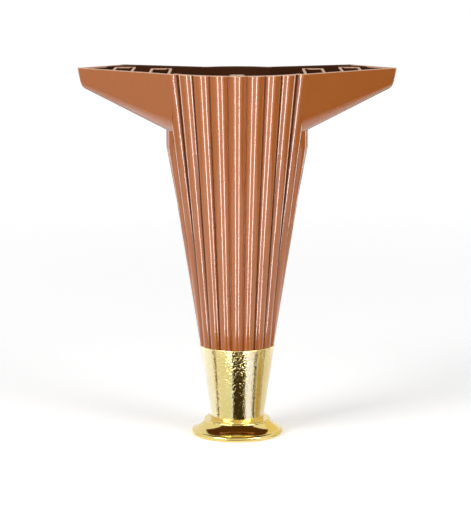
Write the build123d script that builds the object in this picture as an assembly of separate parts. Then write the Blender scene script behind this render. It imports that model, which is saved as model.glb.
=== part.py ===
from build123d import *
import os
from math import cos, degrees, hypot, radians, sin, sqrt

# Corner sofa leg, in millimetres. Z is up from the floor, the reeded front faces -Y and the leg is
# the same left and right of the YZ plane. The origin is the middle of the foot, on the floor.

# Overall and moulding
leg_height = 180.0
wall = 2.6
fit_gap = 0.2

# Column: a hollow cone, reeded at the front and sides, plain at the back
column_bottom = 44.9
column_bottom_radius = 18.55
column_top_radius = 40.6
column_back_radius = 37.2
shoulder_height = 143.4
front_reeds = 4
side_reeds = 4
bottom_pitch = 19.5
top_pitch = 13.4
top_last_azimuth = 56.0
side_first_azimuth = 75.0
side_pitch = 15.2
groove_width = 0.8
groove_depth = 0.2
reed_rise = 0.3

# Wings: two tapering troughs, square to each other, that follow the sofa's two rails
wing_face_distance = 39.7
wing_reach = 73.6
wing_root_reach = 6.0
wing_root_offset = 2.0
wing_root_lean = 0.03
wing_back_corner = (57.7, 51.4)
wing_back_flat = (25.5, 37.0)
wing_root_depth = 31.6
wing_tip_depth = 10.5
wing_draft = 0.17
tip_draft = 0.12
root_edge_radius = 12.0
tip_edge_radius = 5.0
tip_round = 1.8
least_edge_radius = 0.6

# Screw pockets inside the wings, and the small boss behind the front wall
pocket_width = 10.5
pocket_wall = 1.2
pocket_corner = 2.5
pocket_depth = 8.0
pocket_pad = 3.0
outer_pocket = (55.9, 31.5)
inner_pocket = (37.4, 20.5)
screw_setback = 10.6
screw_hole_radius = 2.25
screw_head_radius = 4.5
front_boss_radius = 3.6
front_boss_hole_radius = 1.3
front_boss_depth = 15.0
front_boss_setback = 11.0
front_web_width = 4.0

# Gold ferrule: a tapered sleeve over the spigot under the column
ferrule_bottom = 7.8
ferrule_bottom_radius = 13.1
ferrule_top_radius = 18.6
ferrule_wall = 2.0
ferrule_edge = 0.4

# Gold foot: a thin round flange that sweeps up to a collar
foot_radius = 22.75
foot_rim = 2.75
foot_sweep = 0.42
collar_radius = 16.4
collar_height = 6.85
collar_edge = 0.6
foot_plug_height = 3.0
foot_core_depth = 4.6
screw_recess_radius = 5.6
screw_recess_depth = 3.2

# Screw that draws the foot and the ferrule up to the spigot
foot_screw_head_radius = 4.2
foot_screw_head_height = 2.4
foot_screw_head_edge = 0.8
foot_screw_slot = 1.0
foot_screw_radius = 1.95
foot_screw_length = 22.0
foot_screw_point = 1.0
screw_clearance = 0.3
pilot_gap = 0.05


def polar(radius, azimuth, z):
    """A point at a radius from the axis; azimuth 0 is the front and turns towards +X."""
    angle = radians(azimuth)
    return Vector(radius * sin(angle), -radius * cos(angle), z)


def reed(azimuth, crest_radius, width, z):
    """The two feet and the crest between them of one half-round reed at one height."""
    base_radius = crest_radius - reed_rise * width
    half = degrees(width / 2 / base_radius)
    return [
        polar(base_radius, azimuth - half, z),
        polar(crest_radius, azimuth, z),
        polar(base_radius, azimuth + half, z),
    ]


def side(index):
    return 1 if index >= 0 else -1


def column_radius(z):
    share = (z - column_bottom) / (leg_height - column_bottom)
    return column_bottom_radius + share * (column_top_radius - column_bottom_radius)


def bottom_reed(index):
    width = radians(bottom_pitch) * column_bottom_radius - groove_width
    return reed(bottom_pitch * index, column_bottom_radius, width, column_bottom)


def top_reed(index):
    azimuth = top_pitch * index if abs(index) < front_reeds else top_last_azimuth * side(index)
    width = radians(top_pitch) * column_top_radius - groove_width
    return reed(azimuth, column_top_radius, width, leg_height)


def side_reed(index, z):
    """A reed beside the wings, which stands upright from the shoulder to the wing."""
    radius = column_radius(shoulder_height)
    azimuth = side_first_azimuth + side_pitch * (abs(index) - front_reeds - 1)
    width = radians(side_pitch) * radius - groove_width
    return reed(azimuth * side(index), radius, width, z)


def reed_at(index, z):
    """A front reed runs straight from bottom to rim, a side reed turns upright at the shoulder."""
    share = (z - column_bottom) / (leg_height - column_bottom)
    if z == column_bottom:
        return bottom_reed(index)
    if abs(index) > front_reeds:
        return side_reed(index, z)
    return [low + (high - low) * share for low, high in zip(bottom_reed(index), top_reed(index))]


def column_outline(z):
    """The reeds and the narrow grooves between them, closed by one plain arc at the back."""
    last = front_reeds + side_reeds
    reeds = [reed_at(index, z) for index in range(-last, last + 1)]
    edges = []
    for here, following in zip(reeds, reeds[1:]):
        middle = (here[2] + following[0]) / 2
        deep = hypot(middle.X, middle.Y)
        groove = Vector(middle.X, middle.Y) * ((deep - groove_depth) / deep) + Vector(0, 0, z)
        edges.append(Edge.make_three_point_arc(*here))
        edges.append(Edge.make_three_point_arc(here[2], groove, following[0]))
    back = column_back_radius if z == leg_height else hypot(reeds[-1][2].X, reeds[-1][2].Y)
    edges.append(Edge.make_three_point_arc(*reeds[-1]))
    edges.append(Edge.make_three_point_arc(reeds[-1][2], polar(back, 180, z), reeds[0][0]))
    return Wire(edges)


def round_section(radius, z, forward=0.0):
    return Wire.make_circle(radius, Plane(origin=(0, -forward, z)))


def wing_plan(reach, across):
    """A point of the right wing in plan: along the wing, and across it towards the front."""
    return Vector(reach + across, reach - across) / sqrt(2)


def wing_section(front, back, lean, depth, edge_radius):
    """One cross-section of a wing, hung from the rim between two plan points."""
    across = (front - back).normalized()
    along = Vector(-across.Y, across.X)
    upward = (Vector(0, 0, 1) - along * lean).normalized()
    stretch = hypot(1, lean)
    width = (front - back).length
    plane = Plane(
        origin=front + Vector(0, 0, leg_height), x_dir=across, z_dir=across.cross(upward)
    )
    low = -depth * stretch
    outline = make_face(
        Polyline((0, 0), (-wing_draft * depth, low), (-width, low), (-width, 0), close=True)
    )
    lower = outline.vertices().sort_by(Axis.Y)[:2]
    return plane * fillet(lower, edge_radius)


def wing_form(inset):
    """The right wing's outer form, or with an inset the hollow inside it."""
    root_front = wing_plan(wing_root_reach, wing_face_distance)
    tip_front = wing_plan(wing_reach, wing_face_distance)
    tip_back = Vector(*wing_back_corner)
    flat = Vector(*wing_back_flat)
    root_back = flat + (flat - tip_back) * ((flat.X - wing_root_offset) / (tip_back.X - flat.X))
    along = (tip_front - root_front).normalized()
    root_across = (root_front - root_back).normalized()
    tip_across = (tip_front - tip_back).normalized()
    root = wing_section(
        root_front - root_across * inset,
        root_back + root_across * inset,
        wing_root_lean,
        wing_root_depth - inset,
        max(root_edge_radius - inset, least_edge_radius),
    )
    tip = wing_section(
        tip_front - tip_across * inset - along * inset,
        tip_back + tip_across * inset - along * inset,
        -tip_draft,
        wing_tip_depth - inset,
        max(tip_edge_radius - inset, least_edge_radius),
    )
    return loft([root, tip], ruled=True)


def round_tip(wing):
    """Ease every edge of the wing's end except the one on the rim."""
    end = wing.faces().sort_by(Axis((0, 0, 0), (1, 1, 0)))[-1]
    return fillet(end.edges().sort_by(Axis.Z)[:-1], tip_round)


def both_sides(shape):
    return shape + mirror(shape, about=Plane.YZ)


def upright_box(x, width, y_low, y_high, z_low, z_high):
    middle = ((y_low + y_high) / 2, (z_low + z_high) / 2)
    return Pos(x, *middle) * Box(width, y_high - y_low, z_high - z_low)


def upright_rod(radius, x, y, z_low, z_high):
    return Pos(x, y, (z_low + z_high) / 2) * Cylinder(radius, z_high - z_low)


def make_leg_body():
    """The copper moulding: column, wings, screw pockets and the spigot under the column."""
    levels = [column_bottom, shoulder_height, leg_height]
    column = Part() + Solid.make_loft([column_outline(z) for z in levels], ruled=True)
    wing = round_tip(wing_form(0))
    hollow_wing = wing_form(wall)

    spigot_bottom = ferrule_bottom + foot_plug_height + screw_clearance
    spigot_levels = [spigot_bottom, column_bottom]
    spigot_radii = [ferrule_radius(z) - ferrule_wall - fit_gap for z in spigot_levels]
    spigot = Part() + Solid.make_loft(
        [round_section(radius, z) for radius, z in zip(spigot_radii, spigot_levels)], ruled=True
    )

    reed_width = radians(top_pitch) * column_top_radius - groove_width
    front_inside = column_top_radius - reed_rise * reed_width - groove_depth - wall
    core_floor = screw_tip()
    core_top_radius = (front_inside + column_back_radius - wall) / 2
    core_bottom_radius = ferrule_radius(core_floor) - ferrule_wall - fit_gap - wall
    core_neck_radius = column_bottom_radius - wall - ferrule_wall
    side_width = radians(side_pitch) * column_radius(shoulder_height) - groove_width
    core_side_radius = column_radius(shoulder_height) - reed_rise * side_width - groove_depth - wall
    core = Part() + Solid.make_loft(
        [
            round_section(core_bottom_radius, core_floor),
            round_section(core_neck_radius, column_bottom),
            round_section(core_side_radius, shoulder_height),
            round_section(core_side_radius, leg_height - wing_root_depth),
            round_section(core_top_radius, leg_height, front_inside - core_top_radius),
        ],
        ruled=True,
    )

    body = column + both_sides(wing) + spigot
    body -= core
    body -= both_sides(hollow_wing)
    for x, far in (outer_pocket, inner_pocket):
        pocket, opening = screw_pocket(x, far, wing, hollow_wing)
        body += both_sides(pocket)
        body -= both_sides(opening)

    boss_y = front_boss_setback - column_top_radius
    boss = upright_rod(front_boss_radius, 0, boss_y, shoulder_height, leg_height)
    boss += upright_box(0, front_web_width, -front_inside, boss_y, shoulder_height, leg_height)
    body += boss & column
    body -= upright_rod(front_boss_hole_radius, 0, boss_y, leg_height - front_boss_depth, leg_height)
    body -= upright_rod(foot_screw_radius + pilot_gap, 0, 0, spigot_bottom, screw_tip())
    return body


def round_far_corners(box, radius):
    return fillet(box.edges().filter_by(Axis.Z).group_by(Axis.Y)[-1], radius)


def screw_pocket(x, far, wing, hollow_wing):
    """A U-shaped pocket joined to the wing's outer wall, and what is cut away for its screw."""
    near = -column_top_radius
    pad_top = leg_height - pocket_depth
    screw_y = far - screw_setback
    outside = upright_box(x, pocket_width, near, far, shoulder_height, leg_height)
    inside = upright_box(x, pocket_width - 2 * pocket_wall, near, far - pocket_wall, pad_top, leg_height)
    pocket = round_far_corners(outside, pocket_corner) & wing
    opening = round_far_corners(inside, pocket_corner - pocket_wall) & hollow_wing
    opening += upright_rod(screw_hole_radius, x, screw_y, shoulder_height, pad_top)
    opening += upright_rod(screw_head_radius, x, screw_y, shoulder_height, pad_top - pocket_pad)
    return pocket, opening


def ferrule_radius(z):
    share = (z - ferrule_bottom) / (column_bottom - ferrule_bottom)
    return ferrule_bottom_radius + share * (ferrule_top_radius - ferrule_bottom_radius)


def make_ferrule():
    """Turned section of the sleeve, with its two outer edges eased."""
    outline = make_face(
        Polyline(
            (ferrule_bottom_radius - ferrule_wall, ferrule_bottom),
            (ferrule_bottom_radius, ferrule_bottom),
            (ferrule_top_radius, column_bottom),
            (ferrule_top_radius - ferrule_wall, column_bottom),
            close=True,
        )
    )
    outer = outline.vertices().sort_by(Axis.X)
    eased = fillet([outer[-1]], ferrule_edge)
    return revolve(Plane.XZ * eased, axis=Axis.Z)


def make_foot_base():
    """Flange, hollow sweep and collar in one turned section, cored from below."""
    plug_radius = ferrule_bottom_radius - ferrule_wall - fit_gap
    plug_top = ferrule_bottom + foot_plug_height
    bore = foot_screw_radius + screw_clearance
    half_rim = foot_rim / 2
    sweep_low = Vector(foot_radius - half_rim, foot_rim)
    sweep_high = Vector(collar_radius, collar_height)
    sweep_middle = Vector(
        collar_radius + (sweep_low.X - sweep_high.X) * foot_sweep,
        foot_rim + (sweep_high.Y - sweep_low.Y) * foot_sweep,
    )
    collar_rim = (collar_radius, ferrule_bottom)
    outer = [
        Line((screw_recess_radius, 0), (foot_radius - half_rim, 0)),
        ThreePointArc((foot_radius - half_rim, 0), (foot_radius, half_rim), sweep_low),
        ThreePointArc(sweep_low, sweep_middle, sweep_high),
        Polyline(
            sweep_high,
            collar_rim,
            (plug_radius, ferrule_bottom),
            (plug_radius, plug_top),
            (bore, plug_top),
            (bore, screw_recess_depth),
            (screw_recess_radius, screw_recess_depth),
            (screw_recess_radius, 0),
        ),
    ]
    outline = make_face(Curve() + outer)
    outline = fillet(outline.vertices().sort_by_distance(collar_rim)[0], collar_edge)
    foot = revolve(Plane.XZ * outline, axis=Axis.Z)
    core_inside = screw_recess_radius + wall
    core_outside = collar_radius - wall
    core = Cylinder(core_outside, foot_core_depth) - Cylinder(core_inside, foot_core_depth)
    return foot - Pos(0, 0, foot_core_depth / 2) * core


def screw_tip():
    return screw_recess_depth + foot_screw_length


def make_foot_screw():
    """Pan-head screw, head down in the foot's recess."""
    head_bottom = screw_recess_depth - foot_screw_head_height
    head = upright_rod(foot_screw_head_radius, 0, 0, head_bottom, screw_recess_depth)
    rim = head.edges().group_by(Axis.Z)[0]
    head = fillet(rim, foot_screw_head_edge)
    for angle in (0, 90):
        slot = Box(foot_screw_head_radius, foot_screw_slot, foot_screw_head_height)
        head -= Rot(0, 0, angle) * Pos(0, 0, head_bottom) * slot
    shank = upright_rod(foot_screw_radius, 0, 0, screw_recess_depth, screw_tip())
    return head + chamfer(shank.edges().group_by(Axis.Z)[-1], foot_screw_point)


os.makedirs("parts", exist_ok=True)
export_step(make_leg_body(), "parts/leg_body.step")
export_step(make_ferrule(), "parts/ferrule.step")
export_step(make_foot_base(), "parts/foot_base.step")
export_step(make_foot_screw(), "parts/foot_screw.step")
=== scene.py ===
import bpy
from math import cos, pi, radians, sin, sqrt
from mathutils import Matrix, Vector


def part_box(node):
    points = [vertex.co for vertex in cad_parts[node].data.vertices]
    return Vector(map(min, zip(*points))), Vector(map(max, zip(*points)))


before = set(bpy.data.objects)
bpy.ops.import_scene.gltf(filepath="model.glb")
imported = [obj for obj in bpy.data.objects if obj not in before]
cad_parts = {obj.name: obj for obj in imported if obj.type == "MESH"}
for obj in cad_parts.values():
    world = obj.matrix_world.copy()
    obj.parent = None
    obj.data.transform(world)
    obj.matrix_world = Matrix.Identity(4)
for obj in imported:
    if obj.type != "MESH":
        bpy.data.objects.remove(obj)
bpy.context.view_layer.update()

# Leg body: one hollow injection moulding, a reeded cone with two wings that follow the sofa's rails.
# Copper metallic lacquer under a clear coat outside; the hollow is coloured dark brown, without metal or
# clear coat. Wood screws in the wings' pockets fix it under the sofa.


class Shade:
    """A socket in a material's nodes. Sums and products of shades add their Math nodes."""

    def __init__(self, tree, socket=None):
        self.tree = tree
        self.socket = socket

    def node(self, kind, settings=None, inputs=None, output=0):
        """Add a node, set it up, feed its sockets with numbers or shades, and hand back one output."""
        made = self.tree.nodes.new(kind)
        for name, value in (settings or {}).items():
            setattr(made, name, value)
        for name, value in (inputs or {}).items():
            if isinstance(value, Shade):
                self.tree.links.new(value.socket, made.inputs[name])
            else:
                made.inputs[name].default_value = value
        return Shade(self.tree, made.outputs[output] if made.outputs else None)

    def beside(self, output):
        """Another output of the node that this shade comes from."""
        return Shade(self.tree, self.socket.node.outputs[output])

    def math(self, operation, *values):
        return self.node("ShaderNodeMath", {"operation": operation}, dict(enumerate(values)))

    def __add__(self, other):
        return self.math("ADD", self, other)

    __radd__ = __add__

    def __sub__(self, other):
        return self.math("SUBTRACT", self, other)

    def __rsub__(self, other):
        return self.math("SUBTRACT", other, self)

    def __mul__(self, other):
        return self.math("MULTIPLY", self, other)

    __rmul__ = __mul__

    def __truediv__(self, other):
        return self.math("DIVIDE", self, other)

    def __rtruediv__(self, other):
        return self.math("DIVIDE", other, self)

    def __abs__(self):
        return self.math("ABSOLUTE", self)

    def least(self, other):
        return self.math("MINIMUM", self, other)

    def most(self, other):
        return self.math("MAXIMUM", self, other)

    def above(self, limit, blur):
        """0 below a limit and 1 above it, with a soft step between."""
        return self.node(
            "ShaderNodeMapRange",
            {"interpolation_type": "SMOOTHSTEP"},
            {"Value": self, "From Min": limit - blur / 2, "From Max": limit + blur / 2},
        )

    def tint(self, low, high):
        """A colour between two, by this share. A Mix node repeats its names, so its sockets go by number."""
        return self.node(
            "ShaderNodeMix",
            {"data_type": "RGBA"},
            {0: self, 6: (*low, 1) if isinstance(low, tuple) else low, 7: (*high, 1)},
            output=2,
        )

    def length(self):
        """How long a vector is."""
        return self.node("ShaderNodeVectorMath", {"operation": "LENGTH"}, {0: self}, output="Value")


def new_finish(name):
    """An empty material, its nodes and the surface point they work from, in metres."""
    material = bpy.data.materials.new(name)
    material.use_nodes = True
    material.node_tree.nodes.clear()
    nodes = Shade(material.node_tree)
    return material, nodes, nodes.node("ShaderNodeTexCoord", output="Object")


def surface(nodes, shader):
    nodes.node("ShaderNodeOutputMaterial", inputs={"Surface": shader})


def noise(nodes, place, grain, detail=2.0):
    """Even noise whose blotches are about one grain across."""
    return nodes.node(
        "ShaderNodeTexNoise", inputs={"Vector": place, "Scale": 1 / grain, "Detail": detail}
    )


def relief(nodes, height, depth, strength):
    return nodes.node(
        "ShaderNodeBump", inputs={"Height": height, "Distance": depth, "Strength": strength}, output="Normal"
    )


def dress(node, material):
    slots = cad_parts[node].data.materials
    slots.clear()
    slots.append(material)


body_low, body_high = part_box("leg_body")
ferrule_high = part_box("ferrule")[1]
rim = body_high.z
rim_radius = -body_low.y
neck = ferrule_high.z
neck_radius = ferrule_high.x
column_taper = (rim_radius - neck_radius) / (rim - neck)

# The outer skins of the wings, as planes, and how far behind a skin the hollow starts
wing_face = 0.0397
wing_face_slope = 0.17
wing_end = 0.0736
wing_end_turn = 0.1
wing_end_slope = 0.12
wing_back = 0.0234
wing_back_turn = radians(24.1)
wing_floor = 0.142
wing_floor_rise = 0.372
wing_floor_lean = 0.04
wing_edge = 0.0052
wing_edge_taper = 0.043
wing_root = 0.0065
wing_skin = 0.0013
column_skin = 0.0042
mask_blur = 0.0003

# Painted highlight on the rim's top and just inside it, reaching further down on the pockets' edges than on
# the wings' back walls
pocket_line = -0.0015
pocket_turn = 0.595
pocket_highlight_band = 0.0006
rim_edge = 0.0002
back_rim_width = 0.0035

# Painted shade in the grooves: their bottoms are darker brown and have no clear coat, more so towards
# the sides, and not on the plain back. Depths are shares of the groove, sides and back are shares of
# the column's radius.
groove_depth_bottom = 0.0018
groove_depth_top = 0.0028
groove_shade_depth, groove_shade_depth_blur = 0.85, 0.35
groove_shade_side, groove_shade_side_blur = 0.375, 0.45
plain_back, plain_back_blur = 0.5, 0.15
wing_margin = 0.002

copper = (0.35, 0.095, 0.016)
copper_flake = (0.40, 0.118, 0.022)
dark_inside_brown = (0.055, 0.019, 0.008)
# The brown of the painted shade in the groove bottoms
groove_shade_brown = (0.09, 0.028, 0.009)
# The pale pink of the painted highlight on the rim's top and the pockets' edges
rim_highlight_pink = (0.64, 0.38, 0.25)
flake_grain = 0.0005
flake_share = 0.7
cloud_grain = 0.03
lacquer_middle, lacquer_blur = 0.5, 0.5
lacquer_metal = 0.05
lacquer_roughness = 0.40
flake_roughness = 0.08
dark_inside_roughness = 0.1
rim_highlight_dullness = 0.85
spray_grain = 0.0012
spray_depth = 0.0001
spray_relief = 0.02


def copper_lacquer():
    material, nodes, place = new_finish("copper_lacquer")
    axes = nodes.node("ShaderNodeSeparateXYZ", inputs={0: place})
    x, y, z = (axes.beside(axis) for axis in "XYZ")
    flat_place = nodes.node("ShaderNodeVectorMath", {"operation": "MULTIPLY"}, {0: place, 1: (1, 1, 0)})
    radius = flat_place.length()
    reach = (abs(x) + y) / sqrt(2)
    across = (abs(x) - y) / sqrt(2)

    behind_column = (z - neck) * column_taper + neck_radius - radius
    behind_face = wing_face - (rim - z) * wing_face_slope - across
    behind_end = wing_end + (wing_face - across) * wing_end_turn - (rim - z) * wing_end_slope - reach
    behind_back = wing_back + abs(x) * sin(wing_back_turn) - y * cos(wing_back_turn)
    over_floor = z - wing_floor - reach * wing_floor_rise - across * wing_floor_lean
    behind_edges = (behind_face.least(behind_back) + over_floor) / sqrt(2)
    behind_edges = behind_edges - wing_edge + reach * wing_edge_taper
    in_wing = behind_face.least(behind_end).least(behind_back).least(over_floor)
    in_wing = in_wing.least(behind_edges).least(reach - wing_root)
    hollow = behind_column.above(column_skin, mask_blur).most(in_wing.above(wing_skin, mask_blur))

    # Painted highlight: pale pink on the rim's top faces and on a band just below them inside the hollow
    past_pockets = (y - abs(x) * pocket_turn).above(pocket_line, mask_blur)
    highlight_band = pocket_highlight_band - past_pockets * (pocket_highlight_band - rim_edge)
    highlit_rim = (z - rim + highlight_band).above(0, rim_edge)
    top = (z - rim + rim_edge).above(0, rim_edge)
    # The hollow below that band, and the back wall's rim top, go dark brown without metal or clear coat
    back_rim = top * (1 - behind_back.above(back_rim_width, mask_blur))
    dark_inside = (hollow * (1 - highlit_rim)).most(back_rim)
    rim_highlight = top.most(hollow * highlit_rim)

    # Painted shade in the groove bottoms, more towards the sides; none on the wings, the rim or the plain
    # back
    groove_widening = (groove_depth_top - groove_depth_bottom) / (rim - neck)
    groove_depth = (z - neck) * groove_widening + groove_depth_bottom
    groove_shade = (behind_column / groove_depth).above(groove_shade_depth, groove_shade_depth_blur)
    groove_shade = groove_shade * (abs(x) / radius).above(groove_shade_side, groove_shade_side_blur)
    groove_shade = groove_shade * (1 - in_wing.above(-wing_margin, mask_blur)) * (1 - top)
    groove_shade = groove_shade * (1 - (y / radius).above(plain_back, plain_back_blur))

    flake = noise(nodes, place, flake_grain, detail=3.0)
    cloud = noise(nodes, place, cloud_grain)
    glitter = (flake * flake_share + cloud * (1 - flake_share)).above(lacquer_middle, lacquer_blur)
    # Random flake tone in the lacquer, under the painted rim highlight
    lacquer = rim_highlight.tint(glitter.tint(copper, copper_flake), rim_highlight_pink)
    shader = nodes.node(
        "ShaderNodeBsdfPrincipled",
        inputs={
            "Base Color": dark_inside.tint(groove_shade.tint(lacquer, groove_shade_brown), dark_inside_brown),
            "Metallic": lacquer_metal - dark_inside * lacquer_metal,
            "Roughness": lacquer_roughness + flake * flake_roughness + dark_inside * dark_inside_roughness,
            "Specular IOR Level": 0.0,
            "Coat Weight": 1 - dark_inside.most(groove_shade).most(rim_highlight * rim_highlight_dullness),
            "Coat Roughness": 0.06,
            "Coat IOR": 1.6,
            "Normal": relief(nodes, noise(nodes, place, spray_grain), spray_depth, spray_relief),
        },
    )
    surface(nodes, shader)
    return material


dress("leg_body", copper_lacquer())

# Ferrule: a tapered plastic sleeve, plated bright gold, pushed over the spigot under the column.
# The plating is thin, so the moulding's fine orange peel shows as a speckle in its reflections.

gold = (0.84, 0.68, 0.31)
gold_deep = (0.80, 0.62, 0.25)
gold_cloud_grain = 0.012
gold_cloud_middle, gold_cloud_blur = 0.5, 0.6
peel_grain = 0.001
peel_depth = 0.00007
peel_roughness = 0.06
pimple_grain = 0.0008
pimple_start, pimple_blur = 0.6, 0.2
pimple_share = 0.45


def gold_plate(name, colours, peel, roughness, coat):
    material, nodes, place = new_finish(name)
    cloud = noise(nodes, place, gold_cloud_grain)
    skin = noise(nodes, place, peel_grain, detail=3.0)
    pimples = noise(nodes, place, pimple_grain, detail=1.0).above(pimple_start, pimple_blur)
    shader = nodes.node(
        "ShaderNodeBsdfPrincipled",
        inputs={
            "Base Color": cloud.above(gold_cloud_middle, gold_cloud_blur).tint(*colours),
            "Metallic": 1.0,
            "Roughness": roughness + skin * peel_roughness,
            "Coat Weight": coat,
            "Coat Roughness": 0.04,
            "Normal": relief(nodes, skin + pimples * pimple_share, peel_depth, peel),
        },
    )
    surface(nodes, shader)
    return material


dress("ferrule", gold_plate("gold_ferrule", (gold_deep, gold), peel=0.9, roughness=0.06, coat=0.6))

# Foot: a moulding that looks turned, in the same gold plating, polished smoother than the ferrule. Its
# thin flange sweeps up to a collar, and its plug centres the ferrule.

foot_gold = (0.84, 0.67, 0.24)
foot_gold_deep = (0.80, 0.61, 0.2)
foot_plate = gold_plate("gold_foot", (foot_gold_deep, foot_gold), peel=0.05, roughness=0.06, coat=0.1)
dress("foot_base", foot_plate)

# Foot screw: a zinc-plated self-tapping screw, driven up through the foot into the spigot, with its
# head sunk in a recess so that it clears the floor.

zinc = (0.52, 0.53, 0.55)
zinc_pale = (0.66, 0.67, 0.69)
zinc_grain = 0.0015
zinc_depth = 0.00005
zinc_relief = 0.2
zinc_roughness = 0.28
zinc_dullness = 0.2


def zinc_plate():
    material, nodes, place = new_finish("zinc_plate")
    cloud = noise(nodes, place, zinc_grain, detail=4.0)
    shader = nodes.node(
        "ShaderNodeBsdfPrincipled",
        inputs={
            "Base Color": cloud.tint(zinc, zinc_pale),
            "Metallic": 1.0,
            "Roughness": zinc_roughness + cloud * zinc_dullness,
            "Normal": relief(nodes, cloud, zinc_depth, zinc_relief),
        },
    )
    surface(nodes, shader)
    return material


dress("foot_screw", zinc_plate())

# Studio floor: a wide white table that runs out to the horizon. It looks white to the camera and in
# the gold's reflections, and still takes the leg's soft shadow.


def grey(level):
    return (level, level, level)


def flat_card(name, corners):
    mesh = bpy.data.meshes.new(name)
    mesh.from_pydata(corners, [], [list(range(len(corners)))])
    card = bpy.data.objects.new(name, mesh)
    bpy.context.scene.collection.objects.link(card)
    return card


def level_corners(half_width, front, back, height):
    """The corners of a level rectangle, centred left to right on the leg."""
    return [
        (-half_width, front, height),
        (half_width, front, height),
        (half_width, back, height),
        (-half_width, back, height),
    ]


def directly_seen(nodes):
    """1 for what the camera sees, straight, mirrored or through glass, and 0 for soft light."""
    rays = nodes.node("ShaderNodeLightPath")
    straight = rays.beside("Is Camera Ray")
    return straight.most(rays.beside("Is Glossy Ray")).most(rays.beside("Is Transmission Ray"))


half_floor = 12.0
floor_white = grey(0.9)
floor_pale = grey(0.92)
mottle_grain = 0.5
near_glow = 0.28
far_glow = 0.67
glow_start, glow_end = 0.1, 1.5


def table_white():
    material, nodes, place = new_finish("table_white")
    mottle = noise(nodes, place, mottle_grain)
    paint = nodes.node("ShaderNodeBsdfDiffuse", inputs={"Color": mottle.tint(floor_white, floor_pale)})
    lift = place.length().above((glow_start + glow_end) / 2, glow_end - glow_start)
    level = directly_seen(nodes) * (near_glow + lift * (far_glow - near_glow))
    glow = nodes.node("ShaderNodeEmission", inputs={"Color": level.tint(grey(0), grey(1))})
    surface(nodes, nodes.node("ShaderNodeAddShader", inputs={0: paint, 1: glow}))
    return material


table = flat_card("table", level_corners(half_floor, -half_floor, half_floor, 0))
table.data.materials.append(table_white())

# Reflector boards: lit and dark strips that lie on the table around the foot, and one above and one
# behind. The leg tapers down, so its skin mirrors the table, and these give the reeds their lines and
# the gold its streaks. Only reflections show them.

board_height = 0.0004
board_step = radians(4)


def board_finish(name, light):
    material, nodes, _ = new_finish(name)
    surface(nodes, nodes.node("ShaderNodeEmission", inputs={"Color": (*light, 1)}))
    return material


def hang_board(name, corners, light):
    """A board that shows only in reflections."""
    board = flat_card(name, corners)
    board.data.materials.append(board_finish(name, light))
    board.visible_camera = False
    board.visible_diffuse = False
    board.visible_shadow = False


def table_board(name, from_azimuth, to_azimuth, zone, light):
    """A sector of the table; azimuth 0 points to the camera and turns towards +X."""
    near, far = zone
    start, end = radians(from_azimuth), radians(to_azimuth)
    count = max(2, round((end - start) / board_step))
    angles = [start + (end - start) * i / count for i in range(count + 1)]
    ring = [(near * sin(a), -near * cos(a), board_height) for a in angles]
    ring += [(far * sin(a), -far * cos(a), board_height) for a in reversed(angles)]
    hang_board(name, ring, light)


def board_pair(group, part, from_azimuth, to_azimuth, zone, left_light, right_light):
    """Two sectors that mirror each other left and right of the leg's front line."""
    table_board(f"{group}_left_{part}", -to_azimuth, -from_azimuth, zone, left_light)
    table_board(f"{group}_right_{part}", from_azimuth, to_azimuth, zone, right_light)


# How far from the leg's axis each strip starts and ends
gold_near = 0.024
gold_far = 0.1065
gold_streak_far = 0.12
gold_side_far = 0.13
gold_edge_far = 0.15
brim_far = 0.1136
brim_shade_far = 0.122
flank_near = 0.1565
edge_glow_far = 0.22
edge_fade_far = 0.3
wing_near = 0.38
flank_line_near = 0.4
table_far = 3.0
gold_zone = (gold_near, gold_far)
gold_side_zone = (gold_near, gold_side_far)
gold_edge_zone = (gold_near, gold_edge_far)
brim_zone = (gold_far, brim_far)
reed_zone = (brim_far, table_far)
flank_zone = (flank_line_near, table_far)

# The ferrule's streaks, from its left edge to its right edge
gold_shade = grey(0.15)
table_board("gold_left_edge", -178, -84, gold_edge_zone, (1.1, 1.22, 1.6))
table_board("gold_left_streak", -77, -69, gold_side_zone, gold_shade)
table_board("gold_left_glow", -60, -19, gold_zone, (0.9, 0.94, 0.82))
table_board("gold_left_line", -19, -15, gold_zone, (1.14, 1.3, 1.84))
table_board("gold_front_shade", -15, 27, gold_zone, (0.05, 0.035, 0.012))
table_board("gold_right_glow", 30, 51, gold_zone, (1.1, 1.25, 2.2))
table_board("gold_right_streak", 55, 66, (gold_near, gold_streak_far), gold_shade)
table_board("gold_right_amber", 69, 88, gold_side_zone, (0.54, 0.41, 0.12))
table_board("gold_right_edge", 90, 95, gold_edge_zone, gold_shade)
table_board("gold_right_rim", 95, 178, gold_edge_zone, (0.89, 0.88, 0.86))

# The two lines on each reed's crest, which the top of the ferrule catches too
line_azimuths = (19, 28)
brim_white = (2.6, 2.8, 3.6)
reed_white = grey(16.0)
board_pair("brim", "line", *line_azimuths, brim_zone, brim_white, brim_white)
board_pair("reed", "line", *line_azimuths, reed_zone, reed_white, reed_white)
table_board("brim_front_shade", -17, 17, (gold_far, brim_shade_far), (0.11, 0.08, 0.04))
table_board("reed_front_glow", -19, 19, (brim_shade_far, table_far), grey(1.7))
table_board("reed_left_glow", -50, -28, reed_zone, grey(1.5))

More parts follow.
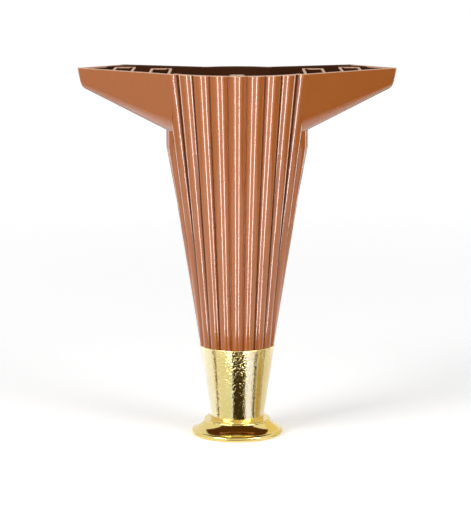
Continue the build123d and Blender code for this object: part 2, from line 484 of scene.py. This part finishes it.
# The column's flanks, the wings' faces and the rounding under the wings
flank_white = grey(5.0)
flank_dark = grey(0.2)
board_pair("flank", "glow", 50, 88, (flank_near, wing_near), grey(1.35), grey(1.2))
board_pair("flank", "line", 126, 136, flank_zone, flank_white, flank_white)
board_pair("flank", "shade", 137, 180, flank_zone, flank_dark, flank_dark)
board_pair("wing", "shade", 50, 118, (wing_near, table_far), grey(0.6), grey(0.08))
board_pair("edge", "glow", 95, 140, (gold_edge_far, edge_glow_far), grey(2.0), grey(1.6))
board_pair("edge", "fade", 95, 140, (edge_glow_far, edge_fade_far), grey(1.5), grey(1.0))
board_pair("edge", "tail", 88, 118, (edge_fade_far, wing_near), grey(1.1), grey(0.55))

# The flange looks up and back: a dark ceiling makes its shadow, an amber board its right-hand glow
ceiling_height = 0.8
ceiling_half_width = 0.7
ceiling_front, ceiling_back = -0.6, 0.75
ceiling_brown = (0.09, 0.035, 0.01)
ceiling_corners = level_corners(ceiling_half_width, ceiling_front, ceiling_back, ceiling_height)
hang_board("ceiling_shade", ceiling_corners, ceiling_brown)

back_board_place = 0.8
back_board_left, back_board_right = 0.25, 1.4
back_board_low, back_board_high = 0.1, 1.0
back_board_amber = (0.92, 0.77, 0.42)
back_board_corners = [
    (back_board_left, back_board_place, back_board_low),
    (back_board_right, back_board_place, back_board_low),
    (back_board_right, back_board_place, back_board_high),
    (back_board_left, back_board_place, back_board_high),
]
hang_board("back_right_amber", back_board_corners, back_board_amber)

# Lamps and room: large soft boxes left, right and above, all aimed at the middle of the leg. The room
# around them is pale, and paler where it shows in a reflection than in the soft light that it gives.

lamp_aim = Vector((0, 0, rim / 2))


def soft_box(name, place, size, watts):
    lamp = bpy.data.lights.new(name, "AREA")
    lamp.shape = "RECTANGLE"
    lamp.size, lamp.size_y = size
    lamp.energy = watts
    box = bpy.data.objects.new(name, lamp)
    box.location = place
    box.rotation_euler = (lamp_aim - Vector(place)).to_track_quat("-Z", "Y").to_euler()
    bpy.context.scene.collection.objects.link(box)


soft_box("left_box", place=(-0.9, -0.8, 0.7), size=(0.6, 0.8), watts=11.1)
soft_box("right_box", place=(0.9, -0.8, 0.6), size=(0.6, 0.8), watts=7.6)
soft_box("top_box", place=(0, 0.1, 1.2), size=(0.9, 0.9), watts=1.5)

room_light = grey(0.36)
room_seen = grey(0.96)
room = bpy.data.worlds.new("pale_room")
room.use_nodes = True
room.node_tree.nodes.clear()
air = Shade(room.node_tree)
room_glow = air.node("ShaderNodeBackground", inputs={"Color": directly_seen(air).tint(room_light, room_seen)})
air.node("ShaderNodeOutputWorld", inputs={"Surface": room_glow})
bpy.context.scene.world = room

# Camera: a long lens about a metre in front of the leg, on the line of its front corner. It stands a
# little above the rim and tilts down, so that the rim and the pockets behind it just show.

image_width, image_height = 471, 506
sensor = 36.0
focal_pixels = 2124.0
eye = Vector((-0.0008, -1.035, 0.2477))
pitch = radians(8.64)

lens = bpy.data.cameras.new("camera")
lens.sensor_width = sensor
lens.lens = sensor * focal_pixels / max(image_width, image_height)
camera = bpy.data.objects.new("camera", lens)
camera.location = eye
camera.rotation_euler = (pi / 2 - pitch, 0, 0)
bpy.context.scene.collection.objects.link(camera)
bpy.context.scene.camera = camera
bpy.context.scene.view_settings.view_transform = "Standard"
